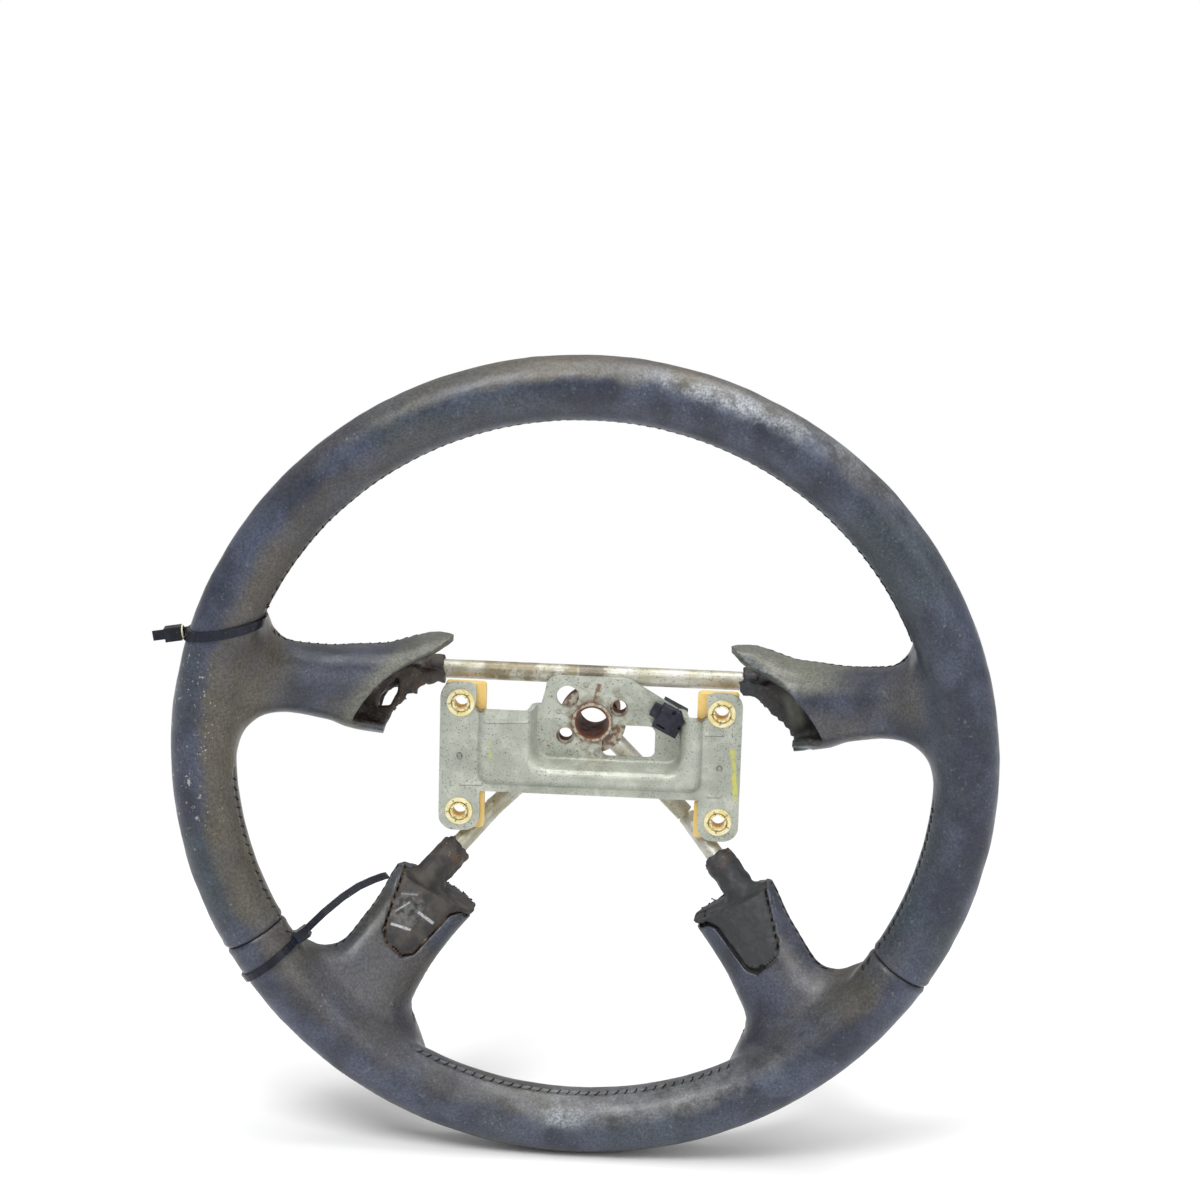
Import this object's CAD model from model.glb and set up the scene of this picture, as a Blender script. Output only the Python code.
"""Looks of a worn leather steering wheel, stripped of its airbag module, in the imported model's frame.

Shapes are worked out in millimetres, with the same named sizes as the CAD source, and turned
into metres when a mesh is made. X is the driver's right, Z is up, Y points away from the driver.
"""
import math

import bpy
import numpy as np
from mathutils import Matrix, Vector
from mathutils.kdtree import KDTree


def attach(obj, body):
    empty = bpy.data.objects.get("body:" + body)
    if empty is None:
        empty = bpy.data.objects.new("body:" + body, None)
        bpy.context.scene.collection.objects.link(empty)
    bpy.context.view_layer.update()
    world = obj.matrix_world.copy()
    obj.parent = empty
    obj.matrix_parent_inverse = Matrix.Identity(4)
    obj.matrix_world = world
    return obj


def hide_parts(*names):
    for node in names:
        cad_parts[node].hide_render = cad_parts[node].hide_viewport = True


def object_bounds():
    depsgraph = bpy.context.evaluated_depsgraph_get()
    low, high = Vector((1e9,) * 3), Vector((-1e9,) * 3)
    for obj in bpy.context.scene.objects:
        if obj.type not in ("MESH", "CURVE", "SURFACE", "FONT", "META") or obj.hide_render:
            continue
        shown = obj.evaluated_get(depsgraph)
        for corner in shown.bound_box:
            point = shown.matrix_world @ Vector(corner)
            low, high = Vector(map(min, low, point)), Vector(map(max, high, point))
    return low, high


MM = 0.001
AXES = np.eye(3, dtype=int)
CORNERS = np.array([[c & 1, c >> 1 & 1, c >> 2 & 1] for c in range(8)])
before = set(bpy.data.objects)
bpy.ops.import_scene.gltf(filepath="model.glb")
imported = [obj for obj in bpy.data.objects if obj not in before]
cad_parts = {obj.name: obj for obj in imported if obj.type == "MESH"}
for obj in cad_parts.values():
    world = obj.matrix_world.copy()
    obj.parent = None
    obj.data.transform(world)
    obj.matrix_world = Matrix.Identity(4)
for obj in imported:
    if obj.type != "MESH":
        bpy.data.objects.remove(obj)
cad_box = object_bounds()

# Sizes of the CAD source, in millimetres and degrees
DISH = 84.0
GRIP_LONG, GRIP_SHORT = 16.1, 14.5
GRIP_LEAN = math.radians(50)
GRIP_REACH = math.hypot(GRIP_LONG * math.cos(GRIP_LEAN), GRIP_SHORT * math.sin(GRIP_LEAN))
RIM_R = 195.0 - GRIP_REACH    # the radius of the grip's middle line
RIM_Y = -DISH
SEAM_ANGLE, SEAM_LIFT = math.radians(31.5), math.radians(1.1)
LEATHER = 1.35
BAR_D, BAR_Y, BAR_Z, BAR_HALF = 9.2, -5.75, 22.0, 80.0
ROD_D, ROD_Y, ROD_BEND = 9.0, -5.85, 67.0
BUSHES = [(x, z) for x in (-63.8, 63.8) for z in (10.6, -44.4)]

# Outlines of the spokes: pairs of a share of the way from the inner end to the rim's middle,
# and a size there, in millimetres across or as a share of the dish in depth
UPPER_INNER, UPPER_END = 60.0, 0.93
UPPER_TOP = [(0, 45.2), (0.06, 46), (0.11, 45.7), (0.17, 44.5), (0.21, 43.4), (0.25, 42.2),
             (0.29, 41.2), (0.33, 40.6), (0.46, 41.5), (0.53, 42.1), (0.63, 44.6), (0.71, 48),
             (0.755, 55), (0.775, 62), (0.81, 72), (0.93, 80)]
UPPER_LOW = [(0, -8.4), (0.08, -7.2), (0.17, -5.7), (0.25, -4.1), (0.33, -2.1), (0.46, 2.5),
             (0.53, 7.1), (0.63, 11.2), (0.71, 13.2), (0.77, 13), (0.82, 10), (0.86, 4),
             (0.885, -5), (0.93, -24)]
UPPER_FRONT = [(0, 0.45), (0.17, 0.38), (0.33, 0.31), (0.5, 0.214), (0.67, 0.107), (0.75, 0.04),
               (0.83, -0.045), (0.93, -0.1)]
UPPER_BACK = [(0, 1), (0.17, 0.95), (0.25, 0.92), (0.33, 0.85), (0.42, 0.765), (0.5, 0.69),
              (0.67, 0.51), (0.75, 0.42), (0.83, 0.33), (0.93, 0.2)]
LOWER_INNER, LOWER_END = 101.0, 0.89
LOWER_OUTER = [(0, 17.5), (0.06, 17.2), (0.19, 15.6), (0.33, 12.6), (0.47, 10.9), (0.62, 9.8),
               (0.68, 10.8), (0.73, 13.5), (0.78, 19), (0.81, 27), (0.89, 47)]
LOWER_SIDE = [(0, -27.4), (0.06, -27.2), (0.19, -27.6), (0.33, -28.6), (0.47, -30.9),
              (0.62, -34.7), (0.67, -39.5), (0.71, -47.5), (0.765, -58), (0.89, -78)]
LOWER_FRONT = [(0, 0.43), (0.19, 0.335), (0.47, 0.185), (0.62, 0.1), (0.745, 0.024), (0.89, -0.06)]
LOWER_BACK = [(0, 0.765), (0.19, 0.66), (0.47, 0.515), (0.62, 0.43), (0.745, 0.35), (0.89, 0.25)]
FILLET = 5.0         # the softness of the spokes' joins with the rim
SQUARE = 2.4         # how square the spokes' sections are, from 2 for an ellipse
END_SLANT, END_MIDDLE = 0.244, -24.0    # the lower spokes' inner ends run aslant about this line
LOWER_CUT = 1.6      # how far short of that end the leather stops
PANEL = [(92, 17), (104, 18), (108.5, 15), (134, 1.5), (137, -3.5), (136.5, -15), (132, -18.5),
         (109.5, -18.5), (106.5, -21), (105.5, -31), (92, -31)]


# Fields: each gives about the distance in millimetres to a surface, negative inside

def curve(t, pairs):
    """The CAD's smooth curve through pairs, at the shares t."""
    x, y = np.array(pairs, float).T
    t = np.clip(t, x[0], x[-1])
    i = np.clip(np.searchsorted(x, t, side="right") - 1, 0, len(x) - 2)
    last = len(x) - 1
    ahead, behind = np.minimum(np.arange(last + 1) + 1, last), np.maximum(np.arange(last + 1) - 1, 0)
    slope = (y[ahead] - y[behind]) / (x[ahead] - x[behind])
    d = x[i + 1] - x[i]
    m = (t - x[i]) / d
    return ((2 * m**3 - 3 * m**2 + 1) * y[i] + (m**3 - 2 * m**2 + m) * d * slope[i]
            + (3 * m**2 - 2 * m**3) * y[i + 1] + (m**3 - m**2) * d * slope[i + 1])


def blend(a, b, k):
    """Smooth union of two fields."""
    h = np.maximum(k - np.abs(a - b), 0) / k
    return np.minimum(a, b) - h * h * k / 4


def cut(a, b, k=0.6):
    """What of a lies outside b, with a slightly rounded edge."""
    return -blend(-a, b, k)


def from_axis(p):
    """Distance from the wheel's axis."""
    return np.hypot(p[:, 0], p[:, 2])


def grip_field(p):
    r = from_axis(p) - RIM_R
    h = RIM_Y - p[:, 1]
    a = r * math.cos(GRIP_LEAN) + h * math.sin(GRIP_LEAN)
    b = -r * math.sin(GRIP_LEAN) + h * math.cos(GRIP_LEAN)
    q = np.hypot(a / GRIP_LONG, b / GRIP_SHORT) + 1e-6
    return (q - 1) * q / np.hypot(a / GRIP_LONG**2, b / GRIP_SHORT**2).clip(1e-4)


def spoke_field(x, y, z, inner, hi, lo, front, back):
    s = (x - inner) / (RIM_R - inner)
    top, low = curve(s, hi), curve(s, lo)
    f, k = curve(s, front) * DISH + RIM_Y, curve(s, back) * DISH + RIM_Y
    hy, hz = (k - f) / 2, (top - low) / 2
    u = np.abs(y - (f + k) / 2) / hy + 1e-4
    v = np.abs(z - (top + low) / 2) / hz + 1e-4
    q = (u**SQUARE + v**SQUARE)**(1 / SQUARE)
    steep = q**(1 - SQUARE) * np.hypot(u**(SQUARE - 1) / hy, v**(SQUARE - 1) / hz)
    return (q - 1) / steep


def upper_share(x):
    """The share of the way along an upper spoke at a distance x from the middle."""
    return (x - UPPER_INNER) / (RIM_R - UPPER_INNER)


def upper_spoke(p):
    return spoke_field(np.abs(p[:, 0]), p[:, 1], p[:, 2],
                       UPPER_INNER, UPPER_TOP, UPPER_LOW, UPPER_FRONT, UPPER_BACK)


def upper_field(p):
    outer_end = UPPER_INNER + UPPER_END * (RIM_R - UPPER_INNER)
    return np.maximum(upper_spoke(p), np.abs(p[:, 0]) - outer_end)


def lower_axes(p):
    """Along and across the lower spokes, whose line lies at 45 degrees."""
    x = np.abs(p[:, 0])
    return (x - p[:, 2]) * math.sqrt(0.5), (x + p[:, 2]) * math.sqrt(0.5)


def lower_end(u, v):
    """Distance before the lower spokes' inner end, which runs a little aslant."""
    return LOWER_INNER + END_SLANT * (v - END_MIDDLE) - u


def lower_field(p):
    u, v = lower_axes(p)
    d = spoke_field(u, p[:, 1], v, LOWER_INNER, LOWER_OUTER, LOWER_SIDE, LOWER_FRONT, LOWER_BACK)
    outer_end = LOWER_INNER + LOWER_END * (RIM_R - LOWER_INNER)
    return np.max([d, lower_end(u, v) + LOWER_CUT, u - outer_end], 0)


def skin(p):
    """The outside of the leather, with the spokes running smoothly into the rim."""
    return blend(blend(grip_field(p), upper_field(p), FILLET), lower_field(p), FILLET)


def polygon_field(a, b, outline):
    """Distance in the plane to a closed outline, negative inside."""
    pts = np.array(outline, float)
    best, inside = np.full(a.shape, 1e9), np.zeros(a.shape, bool)
    for (x0, y0), (x1, y1) in zip(pts, np.roll(pts, -1, 0)):
        dx, dy = x1 - x0, y1 - y0
        t = np.clip(((a - x0) * dx + (b - y0) * dy) / (dx * dx + dy * dy), 0, 1)
        best = np.minimum(best, np.hypot(a - x0 - t * dx, b - y0 - t * dy))
        crosses = (y0 > b) != (y1 > b)
        if dy:
            inside ^= crosses & (a < x0 + (b - y0) * dx / dy)
    return np.where(inside, -best, best)


def noise(p, size, seed=0):
    """Smooth value noise from -1 to 1, with blobs about size millimetres across."""
    q = p / size + seed * 17.31
    i = np.floor(q).astype(np.int64)
    f = q - i
    f = f * f * (3 - 2 * f)
    total = np.zeros(len(p))
    for o in CORNERS:
        n = (i + o) @ np.array([73856093, 19349663, 83492791])
        n = (n ^ (n >> 13)) * 1274126177
        value = ((n ^ (n >> 16)) & 0xFFFFF) / 0x7FFFF - 1
        total += value * np.prod(np.where(o, f, 1 - f), 1)
    return total


def unit(v):
    """Rows of v at length 1."""
    return v / np.linalg.norm(v, axis=1, keepdims=True).clip(1e-9)


def rise(field, p):
    """How a field changes over a short way along each axis, and that way."""
    h = 0.05
    return np.stack([field(p + h * e) - field(p - h * e) for e in np.eye(3)], -1), 2 * h


def normals(field, p):
    return unit(rise(field, p)[0])


def settle(field, p, rounds=3):
    """Moves points onto the zero surface of a field."""
    for _ in range(rounds):
        change, way = rise(field, p)
        g = change / way
        p = p - (field(p) / (g * g).sum(1).clip(0.05))[:, None].clip(-1, 1) * g
    return p


# Meshes from fields

def net(field, low, high, step, rounds=3):
    """Triangles on the zero surface of a field inside a box."""
    axes = [np.arange(low[i], high[i] + step, step) for i in range(3)]
    shape = np.array([len(a) for a in axes])
    values = np.empty(shape)
    y, z = np.meshgrid(axes[1], axes[2], indexing="ij")
    for i, x in enumerate(axes[0]):
        values[i] = field(np.stack([np.full(y.size, x), y.ravel(), z.ravel()], -1)).reshape(y.shape)
    solid = values < 0
    count = sum(solid[tuple(slice(k, n - 1 + k) for k, n in zip(o, shape))].astype(np.int8) for o in CORNERS)
    cells = np.argwhere((count > 0) & (count < 8))
    index = np.full(count.shape, -1)
    index[tuple(cells.T)] = np.arange(len(cells))
    total, hits = np.zeros((len(cells), 3)), np.zeros(len(cells))
    for o in CORNERS:
        for e in AXES[o == 0]:
            a, b = values[tuple((cells + o).T)], values[tuple((cells + o + e).T)]
            hit = (a < 0) != (b < 0)
            t = a / np.where(hit, a - b, 1)
            total += np.where(hit[:, None], cells + o + e * t[:, None], 0)
            hits += hit
    verts = np.array(low) + total / hits[:, None] * step
    quads = []
    for axis in range(3):
        e, u, v = np.roll(AXES, -axis, 0)
        n = shape - e
        a, b = solid[:n[0], :n[1], :n[2]], solid[e[0]:, e[1]:, e[2]:]
        where = np.argwhere(a != b)
        across = where @ np.stack([u, v], 1)
        where = where[((across > 0) & (across < [shape @ u - 1, shape @ v - 1])).all(1)]
        q = np.stack([index[tuple((where - s).T)] for s in (u + v, v, 0 * u, u)], -1)
        flip = ~a[tuple(where.T)]
        q[flip] = q[flip][:, ::-1]
        quads.append(q)
    quads = np.concatenate(quads)
    verts = settle(field, verts, rounds)
    return verts, np.concatenate([quads[:, [0, 1, 2]], quads[:, [0, 2, 3]]])


def split(verts, tris, values, extra=()):
    """Cuts triangles along the zero line of values. Gives the finer mesh with its values and extras."""
    a, b = tris, np.roll(tris, -1, 1)
    hit = (values[a] < -1e-6) & (values[b] > 1e-6) | (values[a] > 1e-6) & (values[b] < -1e-6)
    key = np.minimum(a, b) * len(verts) + np.maximum(a, b)
    keys, back = np.unique(key[hit], return_inverse=True)
    i, j = keys // len(verts), keys % len(verts)
    t = values[i] / (values[i] - values[j])
    made = np.full(tris.shape, -1)
    made[hit] = back + len(verts)

    def lerp(w):
        return w[i] + (w[j] - w[i]) * (t[:, None] if w.ndim > 1 else t)

    new_verts = np.concatenate([verts, lerp(verts)])
    new_values = np.concatenate([values, np.zeros(len(i))])
    extras = [np.concatenate([w, lerp(w)]) for w in extra]
    hits = hit.sum(1)
    out = [tris[hits == 0]]
    for k in range(3):
        one = (hits == 1) & hit[:, k]
        r = np.roll(tris[one], -k, 1)
        m = made[one][:, k]
        out += [np.stack([r[:, 0], m, r[:, 2]], -1), np.stack([m, r[:, 1], r[:, 2]], -1)]
        two = (hits == 2) & ~hit[:, k]
        r = np.roll(tris[two], -k, 1)
        m1, m2 = made[two][:, (k + 1) % 3], made[two][:, (k + 2) % 3]
        out += [np.stack([r[:, 0], r[:, 1], m1], -1), np.stack([r[:, 0], m1, m2], -1),
                np.stack([m2, m1, r[:, 2]], -1)]
    return new_verts, np.concatenate(out), new_values, extras


def compact(tris):
    """Triangles numbered without gaps, and the points that they use."""
    used, back = np.unique(tris, return_inverse=True)
    return back.reshape(-1, 3), used


def keep(verts, tris, values, extra=()):
    """The part of a mesh where values are negative, cut exactly along the zero line."""
    verts, tris, values, extras = split(verts, tris, values, extra)
    tris, used = compact(tris[values[tris].sum(1) < 0])
    return verts[used], tris, values[used], [w[used] for w in extras]


def rim_edges(tris):
    """Directed edges that have a triangle on one side only."""
    a, b = tris.ravel(), np.roll(tris, -1, 1).ravel()
    n = max(a.max(), b.max()) + 1
    both = np.isin(a * n + b, b * n + a)
    return np.stack([a[~both], b[~both]], -1)


def lip(verts, tris, field, thick, inward):
    """Gives a sheet's open edges a thickness, and a band that runs on under the sheet."""
    edges = rim_edges(tris)
    loop = np.unique(edges)
    order = np.full(len(verts), -1)
    order[loop] = np.arange(len(loop))
    n = normals(field, verts[loop])
    towards = np.zeros((len(loop), 3))
    centre = verts[tris].mean(1)
    for k in range(3):
        t = tris[:, k]
        on = order[t] >= 0
        np.add.at(towards, order[t[on]], centre[on] - verts[t[on]])
    towards -= (towards * n).sum(1)[:, None] * n
    down = verts[loop] - n * thick
    under = settle(lambda q: field(q) + thick, down + unit(towards) * inward, 2)
    a, b = edges.T
    rows = [(a, b)] + [(order[a] + k, order[b] + k) for k in (len(verts), len(verts) + len(loop))]
    strips = []
    for (lo_a, lo_b), (hi_a, hi_b) in zip(rows, rows[1:]):
        strips += [np.stack([lo_b, lo_a, hi_a], -1), np.stack([lo_b, hi_a, hi_b], -1)]
    return np.concatenate([verts, down, under]), np.concatenate([tris] + strips)


def add(name, data):
    obj = bpy.data.objects.new(name, data)
    bpy.context.scene.collection.objects.link(obj)
    return obj


def piece(name, verts, faces, nodes, material, attributes=None):
    """Makes an object from points in millimetres, and ties it to the frame."""
    mesh = bpy.data.meshes.new(name)
    mesh.from_pydata((np.asarray(verts, float) * MM).tolist(), [], faces)
    mesh.validate()
    mesh.shade_smooth()
    for key, values in (attributes or {}).items():
        mesh.attributes.new(key, "FLOAT", "POINT").data.foreach_set("value", np.asarray(values, np.float32))
    mesh.materials.append(material)
    obj = add(name, mesh)
    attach(obj, "root")
    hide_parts(*nodes)


# Materials

def rgb(r, g, b):
    """A colour read from the photograph, 0 to 255, as Blender's linear colour."""
    lin = [c / 255 / 12.92 if c <= 10 else ((c / 255 + 0.055) / 1.055) ** 2.4 for c in (r, g, b)]
    return (*lin, 1.0)


class Tree:
    """Makes and links the nodes of a material or of the world."""

    def __init__(self, owner):
        owner.use_nodes = True
        self.nodes, self.links = owner.node_tree.nodes, owner.node_tree.links

    def put(self, socket, value):
        if isinstance(value, bpy.types.NodeSocket):
            self.links.new(value, socket)
        else:
            socket.default_value = value

    def node(self, kind, inputs, output, **settings):
        n = self.nodes.new(kind)
        for key, value in settings.items():
            setattr(n, key, value)
        for key, value in inputs.items():
            self.put(n.inputs[key], value)
        return n.outputs[output]


class Shade(Tree):
    """Builds one procedural material. Sizes of patterns are in millimetres."""

    def __init__(self, name, roughness=0.5, metallic=0.0, specular=0.5):
        self.mat = bpy.data.materials.new(name)
        super().__init__(self.mat)
        self.bsdf = self.nodes["Principled BSDF"]
        looks = {"Roughness": roughness, "Metallic": metallic, "Specular IOR Level": specular}
        for key, value in looks.items():
            self.put(self.bsdf.inputs[key], value)
        self.where = self.nodes.new("ShaderNodeTexCoord").outputs["Object"]
        self.normal = None

    def math(self, op, a, b=0.0, clamp=False):
        return self.node("ShaderNodeMath", {0: a, 1: b}, 0, operation=op, use_clamp=clamp)

    def times(self, a, b):
        return self.math("MULTIPLY", a, b)

    def noise(self, size, detail=3.0, rough=0.55, seed=0.0):
        at = self.where
        if seed:
            at = self.node("ShaderNodeMapping", {"Vector": at, "Location": (seed, seed * 0.7, -seed)}, 0)
        return self.node("ShaderNodeTexNoise", {"Vector": at, "Scale": 1000 / size, "Detail": detail,
                                                "Roughness": rough}, 0)

    def cells(self, size, feature="F1", output="Distance"):
        inputs = {"Vector": self.where, "Scale": 1000 / size}
        return self.node("ShaderNodeTexVoronoi", inputs, output, feature=feature)

    def ramp(self, value, low, high, to_low=0.0, to_high=1.0):
        inputs = {"Value": value, "From Min": low, "From Max": high, "To Min": to_low, "To Max": to_high}
        return self.node("ShaderNodeMapRange", inputs, 0, interpolation_type="SMOOTHSTEP")

    def blots(self, size, low=0.35, high=0.65, to_low=0.0, to_high=1.0, **kind):
        """Patches about size across: noise, with its values from low to high stretched."""
        return self.ramp(self.noise(size, **kind), low, high, to_low, to_high)

    def mix(self, amount, a, b, how="MIX"):
        return self.node("ShaderNodeMix", {0: amount, 6: a, 7: b}, 2, data_type="RGBA", blend_type=how)

    def coat(self, under, mask, amount, colour):
        """Another colour over part of what is there."""
        return self.mix(self.times(mask, amount), under, colour)

    def attribute(self, name):
        return self.node("ShaderNodeAttribute", {}, "Fac", attribute_name=name)

    def axes(self):
        n = self.nodes.new("ShaderNodeSeparateXYZ")
        self.links.new(self.where, n.inputs[0])
        return n.outputs

    def stroke(self, start, end, width):
        """1 on a straight line in the wheel's plane, between points in millimetres."""
        ax = self.axes()
        length = math.dist(start, end)
        along = [(b - a) / length for a, b in zip(start, end)]
        from_start = [self.math("SUBTRACT", ax[k], c * MM) for k, c in zip((0, 2), start)]
        t = self.math("ADD", *[self.times(d, w) for d, w in zip(from_start, along)])
        off = self.math("SUBTRACT", *[self.times(d, w) for d, w in zip(from_start, along[::-1])])
        inside = self.times(self.ramp(t, -0.5 * MM, 0.5 * MM),
                            self.ramp(t, length * MM, (length + 1) * MM, 1, 0))
        beside = self.ramp(self.math("ABSOLUTE", off), 0.4 * width * MM, width * MM, 1, 0)
        return self.times(inside, beside)

    def box(self, low, high, soft=2.0):
        """1 inside a box in millimetres, fading to 0 over soft millimetres. None leaves a side open."""
        value = 1.0
        for axis, a, b in zip(self.axes(), low, high):
            if a is not None:
                value = self.times(value, self.ramp(axis, (a - soft) * MM, a * MM))
            if b is not None:
                value = self.times(value, self.ramp(axis, b * MM, (b + soft) * MM, 1, 0))
        return value

    def radius(self, x=0.0, z=0.0):
        """Distance in the wheel's plane from a point in millimetres, in metres."""
        ax = self.axes()
        a, b = self.math("SUBTRACT", ax[0], x * MM), self.math("SUBTRACT", ax[2], z * MM)
        return self.math("SQRT", self.math("ADD", self.times(a, a), self.times(b, b)))

    def bump(self, height, depth, strength=1.0):
        """Adds relief of depth millimetres."""
        inputs = {"Strength": strength, "Distance": depth * MM, "Height": height}
        if self.normal:
            inputs["Normal"] = self.normal
        self.normal = self.node("ShaderNodeBump", inputs, 0)

    def done(self, colour, roughness=None):
        self.put(self.bsdf.inputs["Base Color"], colour)
        if roughness:
            self.put(self.bsdf.inputs["Roughness"], roughness)
        if self.normal:
            self.links.new(self.normal, self.bsdf.inputs["Normal"])
        return self.mat


def leather_material():
    s = Shade("worn_leather")
    slate = s.mix(s.blots(24), rgb(38, 43, 57), rgb(62, 68, 85))
    slate = s.mix(s.blots(60, 0.5, 0.65, 0, 0.5, seed=2.3), slate, rgb(56, 66, 70))
    brown = s.times(s.attribute("brown"), s.blots(30, 0.3, 0.6, 0.6, 1.0, seed=3.1))
    tint = s.mix(brown, slate, s.mix(s.noise(10), rgb(68, 62, 52), rgb(96, 90, 76)))
    olive = s.mix(s.noise(6), rgb(86, 88, 76), rgb(122, 122, 108))
    tint = s.coat(tint, s.attribute("olive"), 0.8, olive)
    dark = s.mix(s.noise(8), rgb(30, 36, 38), rgb(48, 60, 62))
    tint = s.coat(tint, s.attribute("dark"), 0.95, dark)
    fine = s.blots(1.2, 0.32, 0.68, 0.68, 1.32, detail=4)
    tint = s.mix(1.0, tint, s.node("ShaderNodeCombineColor", {0: fine, 1: fine, 2: fine}, 0), "MULTIPLY")
    worn = s.times(s.attribute("worn"), s.blots(14, 0.36, 0.62, detail=6, rough=0.7))
    worn = s.times(worn, s.blots(1.1, 0.38, 0.62, 0.35, 0.9, detail=5))
    tint = s.mix(worn, tint, rgb(176, 182, 188))
    scuffed = s.math("ADD", s.attribute("scuffed"), 0.15, True)
    patches = s.times(s.blots(26, 0.42, 0.62, seed=1.7), scuffed)
    specks = s.times(s.blots(1.7, 0.645, 0.70, detail=2, seed=5.0), patches)
    tint = s.coat(tint, specks, 0.7, rgb(172, 172, 166))
    scuffs = s.times(s.blots(3.6, 0.665, 0.71, detail=4, seed=9.0), s.attribute("scuffed"))
    tint = s.coat(tint, scuffs, 0.85, rgb(184, 182, 168))
    tint = s.coat(tint, s.attribute("crease"), 0.8, rgb(22, 21, 22))
    s.bump(s.cells(1.2, "SMOOTH_F1"), 0.12, 0.3)
    s.bump(s.noise(6, detail=4), 0.5, 0.25)
    return s.done(tint, s.blots(9, 0.3, 0.7, 0.30, 0.48, detail=5))


# Straight chalk scuffs on the left panel: start, end, half width in millimetres, and strength
CHALK = [((-92, -91.5), (-83, -94.6), 0.8, 0.9), ((-79.5, -87), (-72.5, -92.6), 0.9, 0.8),
         ((-90.5, -86.2), (-84, -82.6), 0.6, 0.6), ((-88, -78.6), (-80.5, -79.2), 0.6, 0.35)]
CHALK_SMEAR = (-84, -86)


def foam_material():
    s = Shade("torn_foam", specular=0.4)
    base = s.mix(s.blots(9, detail=5), rgb(34, 31, 30), rgb(74, 68, 61))
    base = s.mix(s.attribute("charcoal"), base, s.mix(s.noise(6, detail=4), rgb(33, 35, 38), rgb(62, 64, 67)))
    rust = s.times(s.attribute("edge"), s.blots(5, 0.38, 0.62, detail=4))
    base = s.coat(base, rust, 0.7, rgb(104, 72, 50))
    pale = s.times(s.attribute("edge"), s.blots(1.3, 0.6, 0.68, detail=3, seed=4.0))
    base = s.coat(base, pale, 0.7, rgb(176, 166, 146))
    base = s.mix(s.attribute("flap"), base, s.mix(s.noise(5), rgb(92, 92, 82), rgb(136, 136, 124)))
    lines = 0.0
    for start, end, width, amount in CHALK:
        lines = s.math("MAXIMUM", lines, s.times(s.stroke(start, end, width), amount))
    smear = s.ramp(s.radius(*CHALK_SMEAR), 0.004, 0.012, 0.16, 0)
    smear = s.times(smear, s.blots(3, 0.4, 0.6))
    chalk = s.times(lines, s.blots(1.2, 0.3, 0.55, 0.35, 1, detail=3))
    chalk = s.times(s.math("MAXIMUM", chalk, smear), s.attribute("chalk"))
    base = s.mix(chalk, base, rgb(186, 188, 190))
    s.bump(s.noise(1.1, detail=4, rough=0.7), 0.35, 0.6)
    s.bump(s.noise(5, detail=3), 0.8, 0.5)
    return s.done(base, s.blots(4, 0.3, 0.7, 0.42, 0.7))


# Marks on the hub plate, in millimetres in the wheel's plane; a stroke has its half width last
RUST_STREAK = ((0.5, 9), (3.0, 19), 1.4)
PAINT = ((69.0, -7), (71.6, -33), 1.7)
FAINT_PAINT = ((-49.4, -5.3), (-47.6, -17.9), 1.3)
NOTCHES = [(-53.8, 8.6), (53.8, 8.6)]
DENTS = [(-63.6, -16.2), (63.0, -17.4)]
RIBS = [((-51.7, 1.8), (-30.3, 2.7)), ((55.7, -0.7), (64.4, -0.3)),
        ((57.8, -31.8), (64.1, -31.5)), ((-63.3, -31.0), (-52.5, -30.5))]


def zinc_material():
    s = Shade("spangled_zinc", metallic=0.3)
    tint = s.mix(s.ramp(s.cells(5, output="Color"), 0.1, 0.9), rgb(176, 181, 170), rgb(193, 196, 184))
    tint = s.mix(s.blots(16, 0.4, 0.7, detail=5), tint, rgb(160, 164, 152))
    pepper = s.times(s.blots(0.9, 0.58, 0.66, detail=2), s.blots(18, 0.25, 0.65, 0.35, 1, seed=2.0))
    tint = s.coat(tint, pepper, 0.75, rgb(84, 86, 78))
    dirt = s.times(s.ramp(s.radius(2, -2), 0.010, 0.030, 1, 0), s.blots(3.5, 0.44, 0.64, detail=5))
    tint = s.coat(tint, dirt, 0.55, rgb(124, 108, 80))
    rust = s.times(s.ramp(s.radius(), 0.0100, 0.0124, 1, 0), s.blots(3, 0.40, 0.60, detail=4))
    streak = s.times(s.stroke(*RUST_STREAK), s.blots(2.4, 0.4, 0.55, detail=3))
    tint = s.coat(tint, s.math("MAXIMUM", rust, streak), 0.85, rgb(118, 78, 46))
    notch = s.math("MAXIMUM", *[s.ramp(s.radius(*at), 0.0018, 0.0034, 1, 0) for at in NOTCHES])
    tint = s.coat(tint, notch, 0.7, rgb(104, 66, 36))
    paint = s.times(s.stroke(*PAINT), s.blots(5, 0.36, 0.56, 0.15, 0.9, detail=3))
    faint = s.times(s.stroke(*FAINT_PAINT), s.blots(4, 0.4, 0.6, 0, 0.45, detail=3))
    tint = s.mix(s.math("MAXIMUM", paint, faint), tint, rgb(204, 202, 92))
    ribs = [s.stroke(a, b, 0.9) for a, b in RIBS]
    dents = [s.ramp(s.radius(*at), 0.0008, 0.0017, 1, 0) for at in DENTS]
    for mark, depth in zip(ribs + dents, [0.5] * len(ribs) + [-0.9] * len(dents)):
        s.bump(s.times(mark, depth), 1.0)
    s.bump(s.noise(1.0, detail=3), 0.08, 0.5)
    s.bump(s.noise(12, detail=2), 0.4, 0.3)
    return s.done(tint, s.blots(3, 0.3, 0.7, 0.34, 0.55, detail=4))


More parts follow.
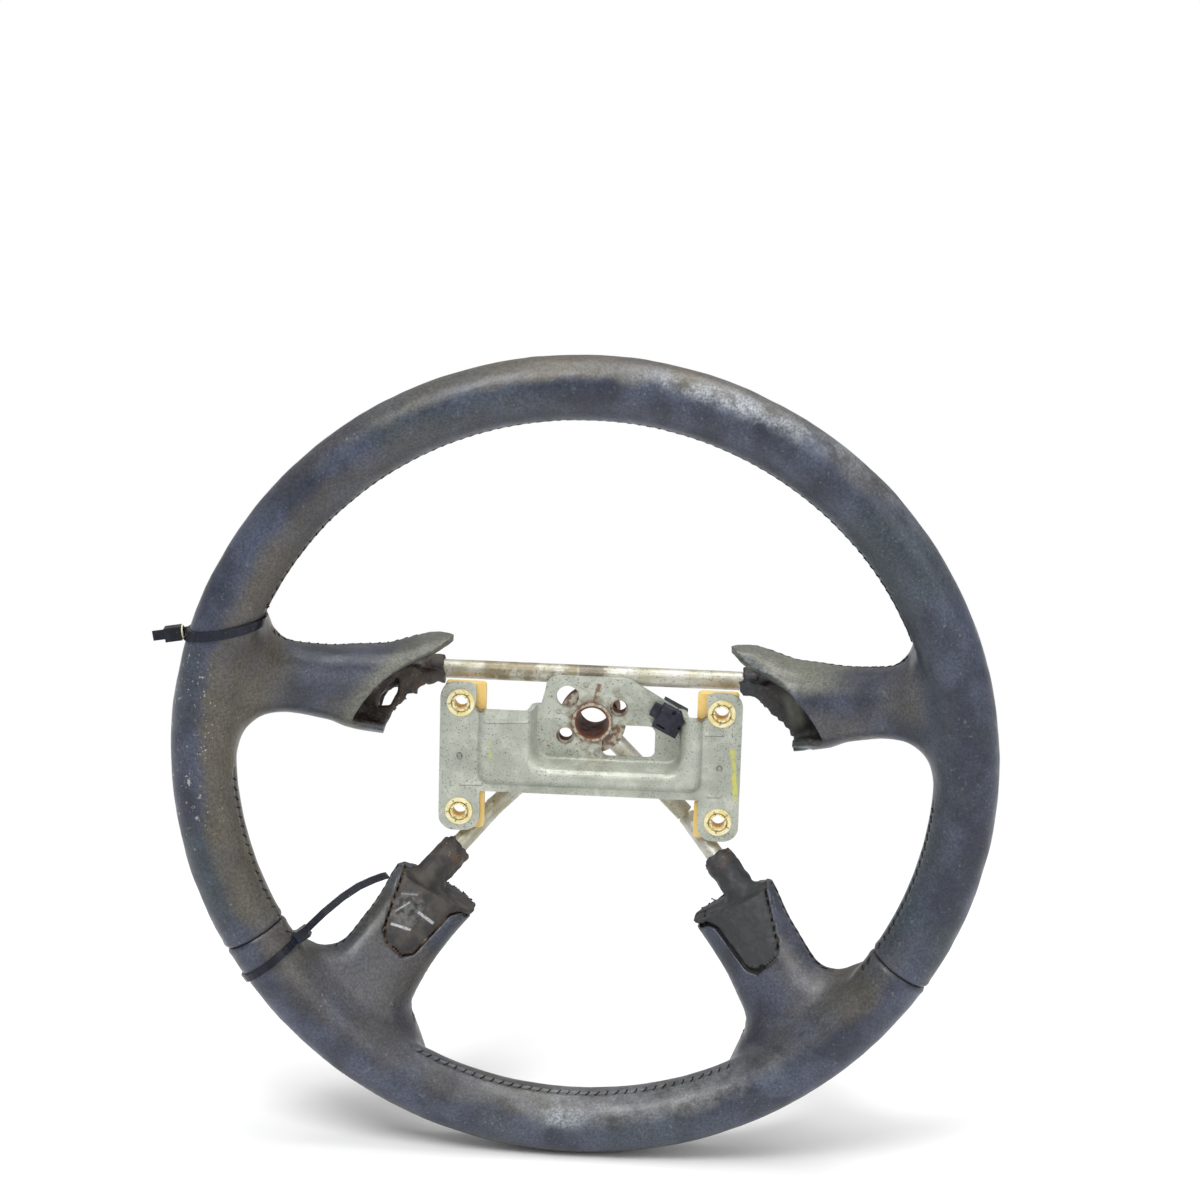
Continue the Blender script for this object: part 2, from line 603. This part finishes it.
def bar_material():
    s = Shade("dull_zinc_bar", metallic=0.35)
    tint = s.mix(s.blots(14, detail=4), rgb(200, 200, 192), rgb(172, 168, 146))
    stain = s.times(s.box((-52, None, 10), (0, None, 40), 6), s.blots(7, 0.36, 0.6, detail=5))
    tint = s.coat(tint, stain, 0.75, rgb(126, 112, 82))
    blot = s.times(s.box((-6.5, None, 15), (6, None, 40), 1.5), s.blots(3, 0.32, 0.5, detail=5))
    tint = s.coat(tint, blot, 0.8, rgb(104, 96, 82))
    pepper = s.blots(1.2, 0.60, 0.67, detail=2)
    tint = s.coat(tint, pepper, 0.6, rgb(92, 82, 60))
    s.bump(s.noise(1.2, detail=4), 0.12, 0.6)
    return s.done(tint, s.blots(5, 0.3, 0.7, 0.3, 0.5))


def rust_material():
    s = Shade("rusty_boss", metallic=0.25)
    deep = s.mix(s.noise(4, detail=5), rgb(62, 34, 24), rgb(128, 74, 42))
    ring = s.times(s.ramp(s.radius(), 0.0081, 0.0088), s.blots(2.2, 0.4, 0.6, 0.2, 1, detail=4))
    in_front = s.box((None, None, None), (None, -10, None), 1)
    tint = s.mix(s.times(ring, in_front), deep, rgb(182, 176, 160))
    s.bump(s.noise(1.5, detail=5), 0.3, 0.7)
    return s.done(tint, s.blots(3, 0.3, 0.7, 0.45, 0.75))


def nylon_material():
    s = Shade("yellowed_nylon")
    tint = s.mix(s.blots(5, detail=3), rgb(242, 233, 188), rgb(232, 212, 140))
    amber = s.mix(s.noise(4), rgb(224, 182, 96), rgb(238, 208, 134))
    tint = s.mix(s.box((None, -22.6, None), (None, None, None), 0.8), tint, amber)
    grooves = 0.0
    for x, z in BUSHES:
        ax = s.axes()
        turn = s.math("ARCTAN2", s.math("SUBTRACT", ax[2], z * MM), s.math("SUBTRACT", ax[0], x * MM))
        slits = s.ramp(s.math("COSINE", s.times(s.math("ADD", turn, 0.5), 5.0)), 0.93, 0.985)
        far = s.radius(x, z)
        ring = s.times(s.ramp(far, 0.0034, 0.0038), s.ramp(far, 0.0055, 0.0061, 1, 0))
        grooves = s.math("MAXIMUM", grooves, s.times(slits, ring))
    tint = s.coat(tint, grooves, 0.55, rgb(130, 108, 66))
    dirt = s.blots(1.6, 0.60, 0.70, detail=4)
    tint = s.coat(tint, dirt, 0.4, rgb(150, 118, 66))
    s.bsdf.inputs["Subsurface Weight"].default_value = 0.08
    s.bump(s.times(grooves, -1.0), 0.6)
    s.bump(s.noise(2), 0.1, 0.3)
    return s.done(tint, s.blots(3, 0.3, 0.7, 0.35, 0.55))


def plastic_material(name, low, high, rough=0.42):
    s = Shade(name, specular=0.3)
    tint = s.mix(s.blots(6, detail=4), low, high)
    dust = s.blots(1.3, 0.64, 0.72, detail=4)
    tint = s.coat(tint, dust, 0.35, rgb(150, 150, 145))
    s.bump(s.noise(0.9, detail=2), 0.06, 0.5)
    return s.done(tint, s.blots(5, 0.3, 0.7, rough - 0.08, rough + 0.1))


def thread_material(name, low, high):
    s = Shade(name, roughness=0.8, specular=0.2)
    ply = s.noise(0.6, detail=2)
    s.bump(ply, 0.15, 0.8)
    return s.done(s.mix(ply, low, high))


LEATHER_MAT = leather_material()
FOAM_MAT = foam_material()
ZINC_MAT = zinc_material()
BAR_MAT = bar_material()
RUST_MAT = rust_material()
NYLON_MAT = nylon_material()
CLIP_MAT = plastic_material("black_clip", rgb(26, 29, 38), rgb(44, 48, 60))
TIE_MAT = plastic_material("tie_black", rgb(11, 14, 24), rgb(24, 28, 41), 0.3)
THREAD_MAT = thread_material("dark_thread", rgb(18, 18, 20), rgb(44, 43, 44))
IVORY_MAT = thread_material("ivory_thread", rgb(196, 184, 150), rgb(226, 218, 190))


# Where the upper spokes are open in front and torn away behind, negative in what is gone

OPEN_CENTRE, OPEN_R, OPEN_Y = (60.0, -15.0), 57.7, RIM_Y + 50
FOLD_CENTRE, FOLD_R, FOLD_FROM = (58.0, -2.0), 49.5, 76.0
TEAR_CENTRE, TEAR_R, TEAR_END, TEAR_LOW = (61.0, -16.0), 41.0, 81.0, -52.5
BACK_AT, BACK_ACROSS, BACK_LOW, BACK_HIGH = (54.0, -38.0), (-33.0, 50.0), 27.5, 75.0
TONGUE_LOW, TONGUE_FROM, TONGUE_RISE = 39.6, 78.0, 0.55
STRIP = 5.5          # the leather left under the front openings
WEB_Y = -31.0        # the wall of foam that closes the openings' back
WEB_HOLE = [(104, 7.5), (103, 13.5), (99.5, 20), (92, 25.5), (93, 17), (97, 9)]
WEB_HOLE_FALL, WEB_HOLE_FROM = 0.304, RIM_Y + 58
CLEAR = 20.0         # a distance that stands for nothing near


def opening(p):
    """Negative inside the front openings of the upper spokes."""
    return np.hypot(np.abs(p[:, 0]) - OPEN_CENTRE[0], p[:, 2] - OPEN_CENTRE[1]) - OPEN_R


def folded(p):
    """From 0 to 1 where the right spoke's leather turns in, behind its rolled front edge."""
    deep = FOLD_R - np.hypot(p[:, 0] - FOLD_CENTRE[0], p[:, 2] - FOLD_CENTRE[1])
    deep -= 0.25 * (FOLD_FROM - p[:, 0]).clip(0, 20)
    return (deep / 1.5).clip(0, 1) * (p[:, 0] > 0) * (p[:, 2] > 0)


def web_hole(p):
    """Negative in the hole of the left web, which slants down towards the back."""
    slanted = polygon_field(-p[:, 0], p[:, 2] + WEB_HOLE_FALL * (p[:, 1] - WEB_Y), WEB_HOLE)
    return np.where(p[:, 0] < 0, slanted, CLEAR)


def from_tear(p):
    """Distance from the centre of the round tear."""
    return np.hypot(np.abs(p[:, 0]) - TEAR_CENTRE[0], p[:, 2] - TEAR_CENTRE[1])


def torn(p, ragged):
    """Negative in what is gone of the upper spokes, with edges as ragged as asked."""
    x, y, z = np.abs(p[:, 0]), p[:, 1], p[:, 2]
    rough = ragged * (noise(p, 3.2, 1) + 0.6 * noise(p, 1.4, 2))
    front = -blend(-opening(p), -(y - OPEN_Y), 8.0)
    low = curve(upper_share(x), UPPER_LOW)
    front = -blend(-front, -(low + STRIP + 0.5 * rough - z), 3.0)
    tear = from_tear(p) - TEAR_R + rough
    tongue = TONGUE_LOW + TONGUE_RISE * (TONGUE_FROM - x)
    end = np.max([x - TEAR_END, z - tongue + 0.4 * rough, TEAR_LOW - z + rough], 0)
    behind = (x - BACK_AT[0]) * BACK_ACROSS[0] + (y - BACK_AT[1]) * BACK_ACROSS[1]
    behind /= math.hypot(*BACK_ACROSS)
    back = np.max([-behind + 0.6 * rough, BACK_LOW - z, z - BACK_HIGH], 0)
    hole = np.where(y > WEB_HOLE_FROM, web_hole(p) + 0.6 * rough, CLEAR)
    return np.min([front, tear, end, back, hole], 0)


def panel_hole(p):
    """Negative over the bare panels in front of the lower rods."""
    u, v = lower_axes(p)
    rod = ROD_Y + (RIM_Y - ROD_Y) * (u - ROD_BEND) / (RIM_R - ROD_BEND)
    return np.maximum(polygon_field(u, v, PANEL), p[:, 1] - rod)


def bearing(p):
    return np.arctan2(p[:, 2], p[:, 0])


def cross_seam(p):
    """Distance along the rim from the nearer cross seam, positive above it."""
    a = bearing(p)
    a = np.where(np.cos(a) < 0, np.where(a > 0, math.pi - a, -math.pi - a), a)
    return (a + SEAM_ANGLE - SEAM_LIFT * (p[:, 0] < 0)) * from_axis(p)


# The stitched seams run round the windows, a little in front of the innermost line
SEAM_TILT = math.radians(16)
SEAM_STEP, SEAM_SHORTEST = 0.5, 60
CORNER = 9.0         # no stitches this near to where rim and spokes meet
STITCH, STITCH_HALF, THREAD_R = 4.6, 1.25, 0.27
# The mesh is cut at these distances from a seam, so that it comes out sharp
LEVELS = (-2.4, -1.2, -0.5, 0.0, 0.5, 1.2, 2.4)
LEATHER_STEP, FOAM_STEP = 1.9, 1.1


def runs_of(points, edges):
    """Joins edges into ordered runs of points."""
    links = {}
    for a, b in edges:
        links.setdefault(a, []).append(b)
        links.setdefault(b, []).append(a)
    left, runs = set(links), []
    for start in sorted(left, key=lambda k: (len(links[k]) == 2, k)):
        if start not in left:
            continue
        run, at = [start], start
        left.discard(start)
        while True:
            ahead = [k for k in links[at] if k in left]
            if not ahead:
                break
            at = ahead[0]
            left.discard(at)
            run.append(at)
        if len(run) > 8:
            runs.append(points[run])
    return runs


def resampled(run, spacing):
    length = np.r_[0, np.cumsum(np.linalg.norm(np.diff(run, axis=0), axis=1))]
    at = np.linspace(0, length[-1], max(int(round(length[-1] / spacing)), 1) + 1)
    return np.stack([np.interp(at, length, run[:, k]) for k in range(3)], -1)


def ease(x, low, high):
    """From 0 at low to 1 at high."""
    t = np.clip((x - low) / (high - low), 0, 1)
    return t ** 2 * (3 - 2 * t)


def under(x, level, width):
    """From 1 under a level to 0 above it."""
    return 1 / (1 + np.exp((x - level) / width))


def bell(x, centre, width):
    """1 at the centre, fading on both sides."""
    return np.exp(-((x - centre) / width) ** 2)


def seam_slope(p):
    """Zero along the stitched seams, which lie further back on the spokes than on the rim."""
    z = p[:, 2]
    outer_side = (z < -40) & (lower_axes(p)[1] > 0)
    on_spoke = under(np.abs(p[:, 0]), 150, 3) * (z > 30) * (z < 70)
    on_spoke += under(from_axis(p), 160.5, 1.6) * (z < 30) * np.where(outer_side, 0.45, 1.0)
    return normals(skin, p)[:, 1] + math.sin(SEAM_TILT) * (1 - 1.7 * on_spoke)


def find_seams(verts, tris, slope, gone):
    """Evenly spaced points along each stitched seam."""
    v, t, slope, (gone,) = split(verts, tris, slope, (gone,))
    corner = np.abs(grip_field(v) - np.minimum(upper_field(v), lower_field(v))) < CORNER
    on = (np.abs(slope) < 1e-9) & (gone < -1.0) & (from_axis(v) < RIM_R - 3)
    on &= (panel_hole(v) > 1) & ~corner
    edges = np.concatenate([t[:, [0, 1]], t[:, [1, 2]], t[:, [2, 0]]])
    edges = np.unique(np.sort(edges[on[edges].all(1)], 1), axis=0)
    runs = [resampled(run, SEAM_STEP) for run in runs_of(v, edges.tolist())]
    return [run for run in runs if len(run) > SEAM_SHORTEST]


def seam_finder(runs):
    """A function that gives points' distance from the nearest seam, and the place along it."""
    tree, along = KDTree(sum(len(r) for r in runs)), []
    for run in runs:
        for k, point in enumerate(run):
            tree.insert(point, len(along))
            along.append(k * SEAM_STEP)
    tree.balance()
    along = np.array(along)

    def nearest(p):
        found = [tree.find(q) for q in p.tolist()]
        return np.array([f[2] for f in found]), along[[f[1] for f in found]]

    return nearest


def leather_marks(p, n, near, cross_near):
    """How brown, worn, scuffed, olive, dark and creased the leather is at each point, from 0 to 1."""
    x, z = p[:, 0], p[:, 2]
    a, r = np.degrees(bearing(p)), from_axis(p)
    inward = -(n[:, 0] * (x / r) + n[:, 2] * (z / r))
    on_rim, near_rim = ease(r, 158, 168), ease(r, 132, 160)
    left, top, bottom = bell(np.abs(a), 180, 55), bell(a, 85, 42), bell(a, -90, 48)
    up = n[:, 2] + 0.12 * noise(p, 16, 6)
    mottle = 0.16 * noise(p, 20, 7) + 0.12 * noise(p, 7, 10)
    brown = np.max([left * near_rim * ease(inward + mottle, -0.1, 0.4),
                    0.9 * top * ease(up + mottle, 0.25, 0.65),
                    bottom * (0.55 * ease(up + mottle, 0.2, 0.6) + 0.5 * ease(-up, 0.6, 0.85)),
                    (1 - on_rim) * (0.12 + 0.4 * ease(noise(p, 26, 8), -0.1, 0.5)),
                    0.7 * bell(a, -39, 9) * ease(inward + mottle, 0.05, 0.5)], 0)
    worn = bell(a, 71, 12) * bell(n[:, 2], 0.5, 0.25) * ease(-n[:, 1], 0.2, 0.6)
    worn += 0.7 * bell(a, -92, 3) * bell(n[:, 2], 0.45, 0.28)
    worn += 0.3 * bell(a, -78, 26) * on_rim * ease(n[:, 2], 0.05, 0.4)
    worn += 0.35 * bell(a, 55, 28) * bell(n[:, 2], 0.75, 0.2)
    scuffed = 0.1 + 0.9 * ease(-x, 160, 176) * bell(z, 10, 50)
    spoke_end = ease(130 - np.abs(x), 0, 25) * (z > -12) * (1 - on_rim)
    olive = np.where(x < 0, bell(opening(p), 2, 5), ease(up, 0.35, 0.75)) * spoke_end
    dark = folded(p) * spoke_end + 0.4 * bell(a, 0, 50) * ease(inward, 0.2, 0.8) * on_rim
    crease = np.maximum(near * 0.15, cross_near)
    marks = dict(brown=brown, worn=worn, scuffed=scuffed, olive=olive, dark=dark, crease=crease)
    return {key: values.clip(0, 1) for key, values in marks.items()}


def make_leather():
    """Both leathers, cut along their seams and openings. Gives the stitched seams."""
    verts, tris = net(skin, (-197, RIM_Y - 19, -197), (197, 2, 197), LEATHER_STEP)
    gone, slope, cross = -torn(verts, 0.5), seam_slope(verts), cross_seam(verts)
    runs = find_seams(verts, tris, slope, gone)
    nearest_seam = seam_finder(runs)
    signed = np.minimum(nearest_seam(verts)[0], 12.0) * np.where(slope > 0, 1.0, -1.0)
    for level in LEVELS:
        verts, tris, _, (signed, cross, gone) = split(verts, tris, signed - level, (signed, cross, gone))
    for level in LEVELS:
        verts, tris, _, (cross, gone) = split(verts, tris, cross - level, (cross, gone))
    verts = settle(skin, verts, 1)
    verts, tris, _, (cross,) = keep(verts, tris, gone, (cross,))
    verts, tris, _, (cross,) = keep(verts, tris, 0.3 - panel_hole(verts), (cross,))
    n = normals(skin, verts)
    d, along = nearest_seam(verts)
    near, cross_near = bell(d, 0, 1.0), bell(cross, 0, 0.9)
    pucker = 0.5 + 0.5 * np.cos(along / STITCH * 2 * math.pi)
    away = -0.5 * near + 0.2 * bell(d, 2.4, 1.3) * pucker - 0.8 * cross_near
    away -= 1.1 * folded(verts)
    away += 0.3 * bell(np.abs(cross), 2.6, 1.3) + 0.22 * noise(verts, 14, 4) + 0.1 * noise(verts, 5, 5)
    moved = verts + n * away[:, None]
    marks = leather_marks(verts, n, near, cross_near)
    for node, sign, thick in (("leather_upper", -1, 3.2), ("leather_lower", 1, 1.8)):
        v, t, _, values = keep(moved, tris, sign * cross + 0.15, marks.values())
        v, t = lip(v, t, skin, thick, 3.0)
        more = len(v) - len(values[0])
        values = {key: np.r_[w, np.full(more, 0.7 * (key == "brown"))] for key, w in zip(marks, values)}
        piece(node + "_skin", v, t.tolist(), (node,), LEATHER_MAT, values)
    return runs


def tube(path, radius, sides=6):
    """Points and quads of a round tube along a path, with closed ends."""
    path = np.asarray(path, float)
    tangent = unit(np.gradient(path, axis=0))
    first = unit(np.cross(tangent, [0.31, 0.87, 0.41]))
    second = np.cross(tangent, first)
    a = np.linspace(0, 2 * math.pi, sides, endpoint=False)
    spread = np.cos(a)[None, :, None] * first[:, None] + np.sin(a)[None, :, None] * second[:, None]
    ring = path[:, None] + np.broadcast_to(radius, len(path))[:, None, None] * spread
    verts = np.concatenate([ring.reshape(-1, 3), path[:1], path[-1:]])
    last = (len(path) - 1) * sides
    around = [(j, (j + 1) % sides) for j in range(sides)]
    faces = [[i + j, i + k, i + sides + k, i + sides + j] for i in range(0, last, sides) for j, k in around]
    for j, k in around:
        faces += [[len(verts) - 2, k, j], [len(verts) - 1, last + j, last + k]]
    return verts, faces


def joined(parts):
    """One list of points and faces from several."""
    verts, faces, base = [], [], 0
    for v, f in parts:
        verts.append(v)
        faces += [[k + base for k in face] for face in f]
        base += len(v)
    return np.concatenate(verts), faces


def make_stitches(runs):
    """Dark thread laced across the seams, through a hole on each side."""
    rng = np.random.default_rng(11)
    parts = {True: [], False: []}
    for run in runs:
        at = resampled(run, STITCH)
        along, up = unit(np.gradient(at, axis=0)), normals(skin, at)
        over = np.cross(up, along)
        beside = cross_seam(at)
        for k in range(1, len(at) - 1):
            if abs(beside[k]) < 2.5:
                continue
            slant = 0.75 + 0.3 * rng.normal()
            made = parts[beside[k] > 0]
            lean = along[k] * slant
            path = [at[k] + over[k] * w * STITCH_HALF + lean * w - up[k] * (0.55 * w * w)
                    for w in np.linspace(-1, 1, 7)]
            made.append(tube(path, THREAD_R))
            for w in (-1, 1):
                hole = at[k] + over[k] * w * (STITCH_HALF + 0.05) + lean * w
                made.append(tube([hole + up[k] * 0.16, hole - up[k] * 0.6], [0.42, 0.25], 8))
    for is_upper, node in ((True, "thread_upper"), (False, "thread_lower")):
        v, f = joined(parts[is_upper])
        piece(node + "_stitches", v, f, (node,), THREAD_MAT)


# The foam core, bare on the spokes' inner ends and in the lower panels

WALL, HOLLOW_END = 5.7, 0.56    # the wall's thickness, and the share of a spoke that is hollow
WEB_HALF, WEB_LEAN, WEB_STRAIGHT, WEB_TOP, WEB_FROM = 2.2, 0.12, 84.0, 29.0, 71.0
SLEEVE_R, SLEEVE_FROM = 6.9, 73.0
STUB_R, STUB_FROM, STUB_LONG = 7.7, 90.7, 60.0
CRACK_AT, CRACK_DEEP = 0.45, 3.5
PLAY = 0.1           # between the foam and what lies in or on it
FOAM_MARKS = ("charcoal", "edge", "chalk", "flap")


def bar_line(p):
    """Distance to the axis of the cross bar, bent towards the rim at its ends."""
    x = np.abs(p[:, 0])
    flat = np.hypot(p[:, 1] - BAR_Y, p[:, 2] - BAR_Z)
    end = np.array([BAR_HALF, BAR_Y, BAR_Z])
    goal = np.array([(BAR_HALF + RIM_R) / 2, (BAR_Y + RIM_Y) / 2, BAR_Z])
    w = (goal - end) / np.linalg.norm(goal - end)
    q = np.stack([x, p[:, 1], p[:, 2]], -1) - end
    far = np.linalg.norm(q - (q @ w)[:, None] * w, axis=1)
    return np.where(x < BAR_HALF, flat, far)


def rod_axes(p):
    """Distance along and from the straight slope of the lower rods."""
    u, v = lower_axes(p)
    goal = np.array([RIM_R - ROD_BEND, RIM_Y - ROD_Y])
    goal = goal / np.linalg.norm(goal)
    a, b = u - ROD_BEND, p[:, 1] - ROD_Y
    along = a * goal[0] + b * goal[1]
    return along, np.hypot(-a * goal[1] + b * goal[0], v)


def upper_foam(p):
    """A hollow wall, the collar on the cross bar, and the web across the hollow."""
    x, y, z = np.abs(p[:, 0]), p[:, 1], p[:, 2]
    rough = 0.9 * noise(p, 4.0, 7) + 0.5 * noise(p, 1.6, 8)
    body = skin(p) + LEATHER + PLAY + 0.25 * noise(p, 2.2, 9)
    hollow = np.maximum(upper_spoke(p) + WALL + 0.5 * rough, upper_share(x) - HOLLOW_END)
    wall = cut(body, hollow, 1.2)
    wall = cut(wall, torn(p, 1.2) - 1.6 + 0.4 * rough, 0.8)
    bar = bar_line(p)
    collar = np.maximum(bar - SLEEVE_R + 0.5 * rough, SLEEVE_FROM + 0.8 * rough - x)
    web = np.max([np.abs(y - WEB_Y - WEB_LEAN * (x - WEB_STRAIGHT)) - WEB_HALF + 0.5 * rough,
                  hollow - 0.5, TEAR_R + 1.6 * rough - from_tear(p), z - WEB_TOP - 1.5 * rough,
                  WEB_FROM + rough - x, -(web_hole(p) + 0.4 * rough)], 0)
    return np.maximum(blend(blend(wall, collar, 3.0), web, 1.5), -(bar - BAR_D / 2 - PLAY))


def lower_foam(p):
    """The spoke's inner part with its bare panel, cracked round the edge, and the stub on the rod."""
    u, v = lower_axes(p)
    rough = 0.9 * noise(p, 4.0, 17) + 0.5 * noise(p, 1.6, 18)
    along, away = rod_axes(p)
    sunk = 0.35 + 0.3 * noise(p, 7, 19) + 0.2 * noise(p, 1.8, 20)
    panel = polygon_field(u, v, PANEL)
    inside = skin(p) + np.where(panel < 1, sunk, LEATHER + PLAY)
    half = np.where(p[:, 0] > 0, np.where(v < -10, 1.2, 0.35), 0.45)
    crack = np.abs(panel + CRACK_AT) - half + 0.25 * noise(p, 3, 21)
    crack = np.maximum(crack, -(inside + CRACK_DEEP))
    body = np.max([inside, -crack, lower_end(u, v) + 0.7 * rough], 0)
    slope = (RIM_R - ROD_BEND) / math.hypot(RIM_R - ROD_BEND, RIM_Y - ROD_Y)
    stub = np.max([away - STUB_R + 0.55 * rough, STUB_FROM - ROD_BEND + rough - along * slope,
                   along - STUB_LONG], 0)
    return np.maximum(blend(body, stub, 4.0), -(away - ROD_D / 2 - PLAY))


def foam_marks(p, is_upper, side):
    """Rows of how charcoal, rusty at the edges, chalked and pale as the flap the foam is."""
    x, z = p[:, 0], p[:, 2]
    none = np.zeros(len(p))
    if is_upper:
        edge = bell(torn(p, 1.2), 0, 2.2) * (0.2 if side > 0 else 0.45)
        flap = np.exp(-((x - 98 - 0.35 * (16 - z)) / 4.0) ** 4 - ((z - 16) / 8.0) ** 4) * 0.8
        return [none + (0.85 if side > 0 else 0.15), edge, none, flap]
    u, v = lower_axes(p)
    panel = polygon_field(u, v, PANEL)
    edge = bell(panel, -0.8, 0.8) * (0.15 if side > 0 else 0.75) + bell(u, STUB_FROM, 2.0) * 0.4
    return [none + (0.9 if side > 0 else 0.3), edge, 1.0 * (panel < -0.8) * (side < 0), none]


def make_foam():
    """The bare foam: the upper spokes' torn ends, and the lower spokes' panels and stubs."""
    all_verts, all_tris, marks, count = [], [], [], 0
    for side in (-1, 1):
        for field, low, high in ((upper_foam, (64, -66, -8), (120, 6, 62)),
                                 (lower_foam, (52, -78, -134), (146, 4, -40))):
            low, high = np.array(low, float), np.array(high, float)
            if side < 0:
                low[0], high[0] = -high[0], -low[0]
            low[0] += 0.37 * side
            verts, tris = net(field, low, high, FOAM_STEP, 2)
            whole = (verts > low + 1.2).all(1) & (verts < high - 1.2).all(1)
            tris, used = compact(tris[whole[tris].all(1)])
            all_verts.append(verts[used])
            all_tris.append(tris + count)
            marks.append(foam_marks(verts[used], field is upper_foam, side))
            count += len(used)
    marks = np.concatenate(marks, 1).clip(0, 1)
    piece("foam_core_skin", np.concatenate(all_verts), np.concatenate(all_tris).tolist(),
          ("foam_core",), FOAM_MAT, dict(zip(FOAM_MARKS, marks)))


runs = make_leather()
make_stitches(runs)
make_foam()


# CAD pieces that are shown as they are, with their materials and slightly rounded edges

LOOKS = [(BAR_MAT, "rim_ring cross_bar lower_rod_left lower_rod_right"), (ZINC_MAT, "hub_plate"),
         (RUST_MAT, "hub_boss"), (CLIP_MAT, "connector_clip"), (IVORY_MAT, "tag_thread"),
         (NYLON_MAT, "bush_upper_left bush_upper_right bush_lower_left bush_lower_right"),
         (TIE_MAT, "cable_tie_upper cable_tie_lower")]
for look, names in LOOKS:
    for name in names.split():
        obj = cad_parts[name]
        obj.data.materials.clear()
        obj.data.materials.append(look)
        bevel = obj.modifiers.new("edges", "BEVEL")
        bevel.width, bevel.segments = 0.25 * MM, 2
        bevel.limit_method, bevel.angle_limit = "ANGLE", math.radians(40)


# Floor, light and camera

# The floor is plain near the wheel, where its shadow falls, and turns white between these distances
WHITE_FROM, WHITE_FULL = 0.22, 0.6


def floor_material():
    s = Shade("pale_floor", roughness=0.9)
    grain = s.node("ShaderNodeTexNoise", {"Scale": 30}, 0)
    tone = s.node("ShaderNodeMapRange", {0: grain, "To Min": 0.90, "To Max": 0.93}, 0)
    colour = s.node("ShaderNodeCombineColor", {0: tone, 1: tone, 2: tone}, 0)
    white = s.node("ShaderNodeEmission", {"Color": (1, 1, 1, 1), "Strength": 1.0}, 0)
    far = s.ramp(s.node("ShaderNodeVectorMath", {0: s.where}, "Value", operation="LENGTH"),
                 WHITE_FROM, WHITE_FULL)
    rays = [s.node("ShaderNodeLightPath", {}, ray) for ray in ("Is Camera Ray", "Is Glossy Ray")]
    amount = s.times(s.math("ADD", *rays, clamp=True), far)
    mix = s.node("ShaderNodeMixShader", {0: amount, 1: s.bsdf.outputs[0], 2: white}, 0)
    s.links.new(mix, s.nodes["Material Output"].inputs["Surface"])
    return s.done(colour)


def make_floor():
    mesh = bpy.data.meshes.new("floor")
    size, z = 8.0, float(cad_box[0][2])
    corners = [(-size, -size, z), (size, -size, z), (size, size, z), (-size, size, z)]
    mesh.from_pydata(corners, [], [(0, 1, 2, 3)])
    mesh.materials.append(floor_material())
    floor = add("floor", mesh)


def make_light():
    world = bpy.data.worlds.new("studio")
    bpy.context.scene.world = world
    tree = Tree(world)
    ray = tree.node("ShaderNodeLightPath", {}, "Is Camera Ray")
    dim, white = [tree.node("ShaderNodeBackground", {"Color": (1, 1, 1, 1), "Strength": strength}, 0)
                  for strength in (0.40, 1.0)]
    mix = tree.node("ShaderNodeMixShader", {0: ray, 1: dim, 2: white}, 0)
    tree.links.new(mix, tree.nodes["World Output"].inputs["Surface"])
    for name, place, size, power in (("key", (-0.7, -1.3, 2.0), 1.1, 40),
                                     ("fill", (1.4, -1.5, 0.9), 1.6, 12), ("top", (0.3, 0.1, 2.0), 1.4, 30)):
        lamp = bpy.data.lights.new(name, "AREA")
        lamp.size, lamp.energy = size, power
        obj = add(name, lamp)
        obj.location = place
        aim = Vector((0, -0.05, 0)) - Vector(place)
        obj.rotation_euler = aim.to_track_quat("-Z", "Y").to_euler()


def make_camera():
    """The photograph's view, found from the rim's outline and the hub's points."""
    azimuth, elevation, roll, distance = math.radians(3.1), math.radians(16.9), math.radians(1.64), 1.8
    level = math.cos(elevation)
    back = Vector((math.sin(azimuth) * level, -math.cos(azimuth) * level, math.sin(elevation)))
    right = Vector((math.cos(azimuth), math.sin(azimuth), 0))
    up = back.cross(right)
    x_axis = math.cos(roll) * right + math.sin(roll) * up
    y_axis = math.cos(roll) * up - math.sin(roll) * right
    lens = bpy.data.cameras.new("camera")
    lens.lens, lens.sensor_width, lens.sensor_fit = 114.78, 36.0, "HORIZONTAL"
    lens.shift_x, lens.shift_y = 0.01417, 0.13667
    camera = add("camera", lens)
    turn = Matrix((x_axis, y_axis, back)).transposed().to_4x4()
    camera.matrix_world = Matrix.Translation(Vector((0, RIM_Y * MM, 0)) + back * distance) @ turn
    bpy.context.scene.camera = camera


make_floor()
make_light()
make_camera()
bpy.context.scene.view_settings.view_transform = "Standard"
